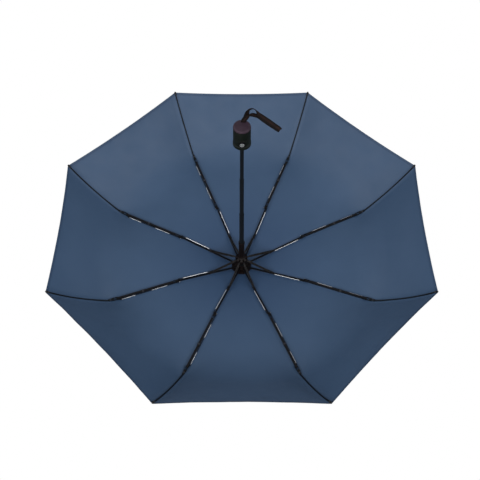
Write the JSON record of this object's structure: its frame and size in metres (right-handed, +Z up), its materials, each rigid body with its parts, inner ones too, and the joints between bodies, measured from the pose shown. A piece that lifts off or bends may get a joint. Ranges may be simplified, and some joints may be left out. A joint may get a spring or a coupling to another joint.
{
  "type": "folding umbrella",
  "caption": "Compact three-section folding umbrella, open, with hinged ribs, a telescopic shaft, a sliding runner, a push-button grip and a wrist strap.",
  "frame": {"origin": "centre of the end face of the handle, on the shaft's axis", "axes": "+Z up the shaft from the handle to the crown, -Y the side of the push button"},
  "size_m": [0.89, 0.89, 0.6024],
  "materials": {
    "canopy_cloth": "tightly woven matt navy pongee with a faint sheen",
    "grip_plastic": "satin black moulded plastic",
    "plum_plastic": "satin dark plum moulded plastic",
    "button_plastic": "glossy black plastic with a small pale ring mark",
    "black_plastic": "moulded black plastic",
    "rod_plastic": "black moulded joint, dark glass-fibre rod and black tip cap",
    "black_steel": "black painted steel tube, semi-gloss",
    "rib_steel": "black painted pressed steel channel, semi-gloss",
    "gunmetal_steel": "dark grey plated steel channel",
    "bright_steel": "bright nickel-plated wire",
    "spring_steel": "plain spring wire",
    "strap_webbing": "dark brown-black woven webbing"
  },
  "bodies": {
    "handle": {"grip_shell": "grip_plastic", "end_cap": "plum_plastic", "lower_tube": "black_steel", "wrist_strap": "strap_webbing"},
    "button": {"push_button": "button_plastic", "button_spring": "spring_steel"},
    "middle_shaft": {"middle_tube": "black_steel"},
    "head": {"upper_tube": "black_steel", "crown": "black_plastic", "ferrule_cap": "black_plastic", "canopy": "canopy_cloth"},
    "runner": {"runner": "black_plastic"},
    "top_rib_1": {"top_rib_1": "rib_steel"},
    "stretcher_1": {"stretcher_1": "gunmetal_steel"},
    "link_1": {"link_1": "bright_steel"},
    "middle_rib_1": {"middle_rib_1": "rib_steel"},
    "tension_wire_1": {"tension_wire_1": "bright_steel"},
    "outer_rib_1": {"outer_rib_1": "rod_plastic"},
    "top_rib_2": {"top_rib_2": "rib_steel"},
    "stretcher_2": {"stretcher_2": "gunmetal_steel"},
    "link_2": {"link_2": "bright_steel"},
    "middle_rib_2": {"middle_rib_2": "rib_steel"},
    "tension_wire_2": {"tension_wire_2": "bright_steel"},
    "outer_rib_2": {"outer_rib_2": "rod_plastic"},
    "top_rib_3": {"top_rib_3": "rib_steel"},
    "stretcher_3": {"stretcher_3": "gunmetal_steel"},
    "link_3": {"link_3": "bright_steel"},
    "middle_rib_3": {"middle_rib_3": "rib_steel"},
    "tension_wire_3": {"tension_wire_3": "bright_steel"},
    "outer_rib_3": {"outer_rib_3": "rod_plastic"},
    "top_rib_4": {"top_rib_4": "rib_steel"},
    "stretcher_4": {"stretcher_4": "gunmetal_steel"},
    "link_4": {"link_4": "bright_steel"},
    "middle_rib_4": {"middle_rib_4": "rib_steel"},
    "tension_wire_4": {"tension_wire_4": "bright_steel"},
    "outer_rib_4": {"outer_rib_4": "rod_plastic"},
    "top_rib_5": {"top_rib_5": "rib_steel"},
    "stretcher_5": {"stretcher_5": "gunmetal_steel"},
    "link_5": {"link_5": "bright_steel"},
    "middle_rib_5": {"middle_rib_5": "rib_steel"},
    "tension_wire_5": {"tension_wire_5": "bright_steel"},
    "outer_rib_5": {"outer_rib_5": "rod_plastic"},
    "top_rib_6": {"top_rib_6": "rib_steel"},
    "stretcher_6": {"stretcher_6": "gunmetal_steel"},
    "link_6": {"link_6": "bright_steel"},
    "middle_rib_6": {"middle_rib_6": "rib_steel"},
    "tension_wire_6": {"tension_wire_6": "bright_steel"},
    "outer_rib_6": {"outer_rib_6": "rod_plastic"},
    "top_rib_7": {"top_rib_7": "rib_steel"},
    "stretcher_7": {"stretcher_7": "gunmetal_steel"},
    "link_7": {"link_7": "bright_steel"},
    "middle_rib_7": {"middle_rib_7": "rib_steel"},
    "tension_wire_7": {"tension_wire_7": "bright_steel"},
    "outer_rib_7": {"outer_rib_7": "rod_plastic"},
    "top_rib_8": {"top_rib_8": "rib_steel"},
    "stretcher_8": {"stretcher_8": "gunmetal_steel"},
    "link_8": {"link_8": "bright_steel"},
    "middle_rib_8": {"middle_rib_8": "rib_steel"},
    "tension_wire_8": {"tension_wire_8": "bright_steel"},
    "outer_rib_8": {"outer_rib_8": "rod_plastic"}
  },
  "joints": [
    {"name": "button_press", "type": "slide", "parent": "handle", "child": "button", "axis": [0, 1, 0], "range_m": [0, 0.0025], "stiffness_N_per_m": 500, "springref_m": -0.001, "deforming": ["button_spring"]},
    {"name": "lower_telescope", "type": "slide", "parent": "handle", "child": "middle_shaft", "axis": [0, 0, -1], "range_m": [0, 0.114]},
    {"name": "upper_telescope", "type": "slide", "parent": "middle_shaft", "child": "head", "axis": [0, 0, -1], "range_m": [0, 0.129]},
    {"name": "canopy_fold", "type": "hinge", "parent": "head", "child": "top_rib_1", "pos_m": [0.01293, 0.00536, 0.5375], "axis": [-0.3827, 0.9239, 0], "range_deg": [0, 74.5], "deforming": ["canopy"]},
    {"name": "stretcher_fold_1", "type": "hinge", "parent": "top_rib_1", "child": "stretcher_1", "pos_m": [0.08223, 0.03406, 0.52087], "axis": [-0.3827, 0.9239, 0], "range_deg": [-149, 0]},
    {"name": "link_fold_1", "type": "hinge", "parent": "stretcher_1", "child": "link_1", "pos_m": [0.07461, 0.0309, 0.52044], "axis": [-0.3827, 0.9239, 0], "range_deg": [0, 149]},
    {"name": "middle_rib_fold_1", "type": "hinge", "parent": "top_rib_1", "child": "middle_rib_1", "pos_m": [0.1663, 0.06888, 0.5007], "axis": [-0.3827, 0.9239, 0], "range_deg": [-168.36, 0]},
    {"name": "wire_fold_1", "type": "hinge", "parent": "top_rib_1", "child": "tension_wire_1", "pos_m": [0.15951, 0.06607, 0.50222], "axis": [-0.3827, 0.9239, 0], "range_deg": [-168.36, 0]},
    {"name": "outer_rib_fold_1", "type": "hinge", "parent": "middle_rib_1", "child": "outer_rib_1", "pos_m": [0.30765, 0.12743, 0.485], "axis": [-0.3827, 0.9239, 0], "range_deg": [0, 143.47]},
    {"name": "runner_slide", "type": "hinge", "parent": "stretcher_1", "child": "runner", "pos_m": [0.01293, 0.00536, 0.50425], "axis": [-0.3827, 0.9239, 0], "range_deg": [0, 74.5]},
    {"name": "top_rib_fold_2", "type": "hinge", "parent": "head", "child": "top_rib_2", "pos_m": [0.00536, 0.01293, 0.5375], "axis": [-0.9239, 0.3827, 0], "range_deg": [0, 74.5]},
    {"name": "stretcher_fold_2", "type": "hinge", "parent": "top_rib_2", "child": "stretcher_2", "pos_m": [0.03406, 0.08223, 0.52087], "axis": [-0.9239, 0.3827, 0], "range_deg": [-149, 0]},
    {"name": "link_fold_2", "type": "hinge", "parent": "stretcher_2", "child": "link_2", "pos_m": [0.0309, 0.07461, 0.52044], "axis": [-0.9239, 0.3827, 0], "range_deg": [0, 149]},
    {"name": "middle_rib_fold_2", "type": "hinge", "parent": "top_rib_2", "child": "middle_rib_2", "pos_m": [0.06888, 0.1663, 0.5007], "axis": [-0.9239, 0.3827, 0], "range_deg": [-168.36, 0]},
    {"name": "wire_fold_2", "type": "hinge", "parent": "top_rib_2", "child": "tension_wire_2", "pos_m": [0.06607, 0.15951, 0.50222], "axis": [-0.9239, 0.3827, 0], "range_deg": [-168.36, 0]},
    {"name": "outer_rib_fold_2", "type": "hinge", "parent": "middle_rib_2", "child": "outer_rib_2", "pos_m": [0.12743, 0.30765, 0.485], "axis": [-0.9239, 0.3827, 0], "range_deg": [0, 143.47]},
    {"name": "top_rib_fold_3", "type": "hinge", "parent": "head", "child": "top_rib_3", "pos_m": [-0.00536, 0.01293, 0.5375], "axis": [-0.9239, -0.3827, 0], "range_deg": [0, 74.5]},
    {"name": "stretcher_fold_3", "type": "hinge", "parent": "top_rib_3", "child": "stretcher_3", "pos_m": [-0.03406, 0.08223, 0.52087], "axis": [-0.9239, -0.3827, 0], "range_deg": [-149, 0]},
    {"name": "link_fold_3", "type": "hinge", "parent": "stretcher_3", "child": "link_3", "pos_m": [-0.0309, 0.07461, 0.52044], "axis": [-0.9239, -0.3827, 0], "range_deg": [0, 149]},
    {"name": "middle_rib_fold_3", "type": "hinge", "parent": "top_rib_3", "child": "middle_rib_3", "pos_m": [-0.06888, 0.1663, 0.5007], "axis": [-0.9239, -0.3827, 0], "range_deg": [-168.36, 0]},
    {"name": "wire_fold_3", "type": "hinge", "parent": "top_rib_3", "child": "tension_wire_3", "pos_m": [-0.06607, 0.15951, 0.50222], "axis": [-0.9239, -0.3827, 0], "range_deg": [-168.36, 0]},
    {"name": "outer_rib_fold_3", "type": "hinge", "parent": "middle_rib_3", "child": "outer_rib_3", "pos_m": [-0.12743, 0.30765, 0.485], "axis": [-0.9239, -0.3827, 0], "range_deg": [0, 143.47]},
    {"name": "top_rib_fold_4", "type": "hinge", "parent": "head", "child": "top_rib_4", "pos_m": [-0.01293, 0.00536, 0.5375], "axis": [-0.3827, -0.9239, 0], "range_deg": [0, 74.5]},
    {"name": "stretcher_fold_4", "type": "hinge", "parent": "top_rib_4", "child": "stretcher_4", "pos_m": [-0.08223, 0.03406, 0.52087], "axis": [-0.3827, -0.9239, 0], "range_deg": [-149, 0]},
    {"name": "link_fold_4", "type": "hinge", "parent": "stretcher_4", "child": "link_4", "pos_m": [-0.07461, 0.0309, 0.52044], "axis": [-0.3827, -0.9239, 0], "range_deg": [0, 149]},
    {"name": "middle_rib_fold_4", "type": "hinge", "parent": "top_rib_4", "child": "middle_rib_4", "pos_m": [-0.1663, 0.06888, 0.5007], "axis": [-0.3827, -0.9239, 0], "range_deg": [-168.36, 0]},
    {"name": "wire_fold_4", "type": "hinge", "parent": "top_rib_4", "child": "tension_wire_4", "pos_m": [-0.15951, 0.06607, 0.50222], "axis": [-0.3827, -0.9239, 0], "range_deg": [-168.36, 0]},
    {"name": "outer_rib_fold_4", "type": "hinge", "parent": "middle_rib_4", "child": "outer_rib_4", "pos_m": [-0.30765, 0.12743, 0.485], "axis": [-0.3827, -0.9239, 0], "range_deg": [0, 143.47]},
    {"name": "top_rib_fold_5", "type": "hinge", "parent": "head", "child": "top_rib_5", "pos_m": [-0.01293, -0.00536, 0.5375], "axis": [0.3827, -0.9239, 0], "range_deg": [0, 74.5]},
    {"name": "stretcher_fold_5", "type": "hinge", "parent": "top_rib_5", "child": "stretcher_5", "pos_m": [-0.08223, -0.03406, 0.52087], "axis": [0.3827, -0.9239, 0], "range_deg": [-149, 0]},
    {"name": "link_fold_5", "type": "hinge", "parent": "stretcher_5", "child": "link_5", "pos_m": [-0.07461, -0.0309, 0.52044], "axis": [0.3827, -0.9239, 0], "range_deg": [0, 149]},
    {"name": "middle_rib_fold_5", "type": "hinge", "parent": "top_rib_5", "child": "middle_rib_5", "pos_m": [-0.1663, -0.06888, 0.5007], "axis": [0.3827, -0.9239, 0], "range_deg": [-168.36, 0]},
    {"name": "wire_fold_5", "type": "hinge", "parent": "top_rib_5", "child": "tension_wire_5", "pos_m": [-0.15951, -0.06607, 0.50222], "axis": [0.3827, -0.9239, 0], "range_deg": [-168.36, 0]},
    {"name": "outer_rib_fold_5", "type": "hinge", "parent": "middle_rib_5", "child": "outer_rib_5", "pos_m": [-0.30765, -0.12743, 0.485], "axis": [0.3827, -0.9239, 0], "range_deg": [0, 143.47]},
    {"name": "top_rib_fold_6", "type": "hinge", "parent": "head", "child": "top_rib_6", "pos_m": [-0.00536, -0.01293, 0.5375], "axis": [0.9239, -0.3827, 0], "range_deg": [0, 74.5]},
    {"name": "stretcher_fold_6", "type": "hinge", "parent": "top_rib_6", "child": "stretcher_6", "pos_m": [-0.03406, -0.08223, 0.52087], "axis": [0.9239, -0.3827, 0], "range_deg": [-149, 0]},
    {"name": "link_fold_6", "type": "hinge", "parent": "stretcher_6", "child": "link_6", "pos_m": [-0.0309, -0.07461, 0.52044], "axis": [0.9239, -0.3827, 0], "range_deg": [0, 149]},
    {"name": "middle_rib_fold_6", "type": "hinge", "parent": "top_rib_6", "child": "middle_rib_6", "pos_m": [-0.06888, -0.1663, 0.5007], "axis": [0.9239, -0.3827, 0], "range_deg": [-168.36, 0]},
    {"name": "wire_fold_6", "type": "hinge", "parent": "top_rib_6", "child": "tension_wire_6", "pos_m": [-0.06607, -0.15951, 0.50222], "axis": [0.9239, -0.3827, 0], "range_deg": [-168.36, 0]},
    {"name": "outer_rib_fold_6", "type": "hinge", "parent": "middle_rib_6", "child": "outer_rib_6", "pos_m": [-0.12743, -0.30765, 0.485], "axis": [0.9239, -0.3827, 0], "range_deg": [0, 143.47]},
    {"name": "top_rib_fold_7", "type": "hinge", "parent": "head", "child": "top_rib_7", "pos_m": [0.00536, -0.01293, 0.5375], "axis": [0.9239, 0.3827, 0], "range_deg": [0, 74.5]},
    {"name": "stretcher_fold_7", "type": "hinge", "parent": "top_rib_7", "child": "stretcher_7", "pos_m": [0.03406, -0.08223, 0.52087], "axis": [0.9239, 0.3827, 0], "range_deg": [-149, 0]},
    {"name": "link_fold_7", "type": "hinge", "parent": "stretcher_7", "child": "link_7", "pos_m": [0.0309, -0.07461, 0.52044], "axis": [0.9239, 0.3827, 0], "range_deg": [0, 149]},
    {"name": "middle_rib_fold_7", "type": "hinge", "parent": "top_rib_7", "child": "middle_rib_7", "pos_m": [0.06888, -0.1663, 0.5007], "axis": [0.9239, 0.3827, 0], "range_deg": [-168.36, 0]},
    {"name": "wire_fold_7", "type": "hinge", "parent": "top_rib_7", "child": "tension_wire_7", "pos_m": [0.06607, -0.15951, 0.50222], "axis": [0.9239, 0.3827, 0], "range_deg": [-168.36, 0]},
    {"name": "outer_rib_fold_7", "type": "hinge", "parent": "middle_rib_7", "child": "outer_rib_7", "pos_m": [0.12743, -0.30765, 0.485], "axis": [0.9239, 0.3827, 0], "range_deg": [0, 143.47]},
    {"name": "top_rib_fold_8", "type": "hinge", "parent": "head", "child": "top_rib_8", "pos_m": [0.01293, -0.00536, 0.5375], "axis": [0.3827, 0.9239, 0], "range_deg": [0, 74.5]},
    {"name": "stretcher_fold_8", "type": "hinge", "parent": "top_rib_8", "child": "stretcher_8", "pos_m": [0.08223, -0.03406, 0.52087], "axis": [0.3827, 0.9239, 0], "range_deg": [-149, 0]},
    {"name": "link_fold_8", "type": "hinge", "parent": "stretcher_8", "child": "link_8", "pos_m": [0.07461, -0.0309, 0.52044], "axis": [0.3827, 0.9239, 0], "range_deg": [0, 149]},
    {"name": "middle_rib_fold_8", "type": "hinge", "parent": "top_rib_8", "child": "middle_rib_8", "pos_m": [0.1663, -0.06888, 0.5007], "axis": [0.3827, 0.9239, 0], "range_deg": [-168.36, 0]},
    {"name": "wire_fold_8", "type": "hinge", "parent": "top_rib_8", "child": "tension_wire_8", "pos_m": [0.15951, -0.06607, 0.50222], "axis": [0.3827, 0.9239, 0], "range_deg": [-168.36, 0]},
    {"name": "outer_rib_fold_8", "type": "hinge", "parent": "middle_rib_8", "child": "outer_rib_8", "pos_m": [0.30765, -0.12743, 0.485], "axis": [0.3827, 0.9239, 0], "range_deg": [0, 143.47]}
  ],
  "couplings": [
    {"joint": "stretcher_fold_1", "follows": "canopy_fold", "ratio": -2},
    {"joint": "link_fold_1", "follows": "canopy_fold", "ratio": 2},
    {"joint": "middle_rib_fold_1", "follows": "canopy_fold", "ratio": -2.2598},
    {"joint": "wire_fold_1", "follows": "canopy_fold", "ratio": -2.2598},
    {"joint": "outer_rib_fold_1", "follows": "canopy_fold", "ratio": 1.9256},
    {"joint": "runner_slide", "follows": "canopy_fold", "ratio": 1},
    {"joint": "top_rib_fold_2", "follows": "canopy_fold", "ratio": 1},
    {"joint": "stretcher_fold_2", "follows": "canopy_fold", "ratio": -2},
    {"joint": "link_fold_2", "follows": "canopy_fold", "ratio": 2},
    {"joint": "middle_rib_fold_2", "follows": "canopy_fold", "ratio": -2.2598},
    {"joint": "wire_fold_2", "follows": "canopy_fold", "ratio": -2.2598},
    {"joint": "outer_rib_fold_2", "follows": "canopy_fold", "ratio": 1.9256},
    {"joint": "top_rib_fold_3", "follows": "canopy_fold", "ratio": 1},
    {"joint": "stretcher_fold_3", "follows": "canopy_fold", "ratio": -2},
    {"joint": "link_fold_3", "follows": "canopy_fold", "ratio": 2},
    {"joint": "middle_rib_fold_3", "follows": "canopy_fold", "ratio": -2.2598},
    {"joint": "wire_fold_3", "follows": "canopy_fold", "ratio": -2.2598},
    {"joint": "outer_rib_fold_3", "follows": "canopy_fold", "ratio": 1.9256},
    {"joint": "top_rib_fold_4", "follows": "canopy_fold", "ratio": 1},
    {"joint": "stretcher_fold_4", "follows": "canopy_fold", "ratio": -2},
    {"joint": "link_fold_4", "follows": "canopy_fold", "ratio": 2},
    {"joint": "middle_rib_fold_4", "follows": "canopy_fold", "ratio": -2.2598},
    {"joint": "wire_fold_4", "follows": "canopy_fold", "ratio": -2.2598},
    {"joint": "outer_rib_fold_4", "follows": "canopy_fold", "ratio": 1.9256},
    {"joint": "top_rib_fold_5", "follows": "canopy_fold", "ratio": 1},
    {"joint": "stretcher_fold_5", "follows": "canopy_fold", "ratio": -2},
    {"joint": "link_fold_5", "follows": "canopy_fold", "ratio": 2},
    {"joint": "middle_rib_fold_5", "follows": "canopy_fold", "ratio": -2.2598},
    {"joint": "wire_fold_5", "follows": "canopy_fold", "ratio": -2.2598},
    {"joint": "outer_rib_fold_5", "follows": "canopy_fold", "ratio": 1.9256},
    {"joint": "top_rib_fold_6", "follows": "canopy_fold", "ratio": 1},
    {"joint": "stretcher_fold_6", "follows": "canopy_fold", "ratio": -2},
    {"joint": "link_fold_6", "follows": "canopy_fold", "ratio": 2},
    {"joint": "middle_rib_fold_6", "follows": "canopy_fold", "ratio": -2.2598},
    {"joint": "wire_fold_6", "follows": "canopy_fold", "ratio": -2.2598},
    {"joint": "outer_rib_fold_6", "follows": "canopy_fold", "ratio": 1.9256},
    {"joint": "top_rib_fold_7", "follows": "canopy_fold", "ratio": 1},
    {"joint": "stretcher_fold_7", "follows": "canopy_fold", "ratio": -2},
    {"joint": "link_fold_7", "follows": "canopy_fold", "ratio": 2},
    {"joint": "middle_rib_fold_7", "follows": "canopy_fold", "ratio": -2.2598},
    {"joint": "wire_fold_7", "follows": "canopy_fold", "ratio": -2.2598},
    {"joint": "outer_rib_fold_7", "follows": "canopy_fold", "ratio": 1.9256},
    {"joint": "top_rib_fold_8", "follows": "canopy_fold", "ratio": 1},
    {"joint": "stretcher_fold_8", "follows": "canopy_fold", "ratio": -2},
    {"joint": "link_fold_8", "follows": "canopy_fold", "ratio": 2},
    {"joint": "middle_rib_fold_8", "follows": "canopy_fold", "ratio": -2.2598},
    {"joint": "wire_fold_8", "follows": "canopy_fold", "ratio": -2.2598},
    {"joint": "outer_rib_fold_8", "follows": "canopy_fold", "ratio": 1.9256}
  ]
}
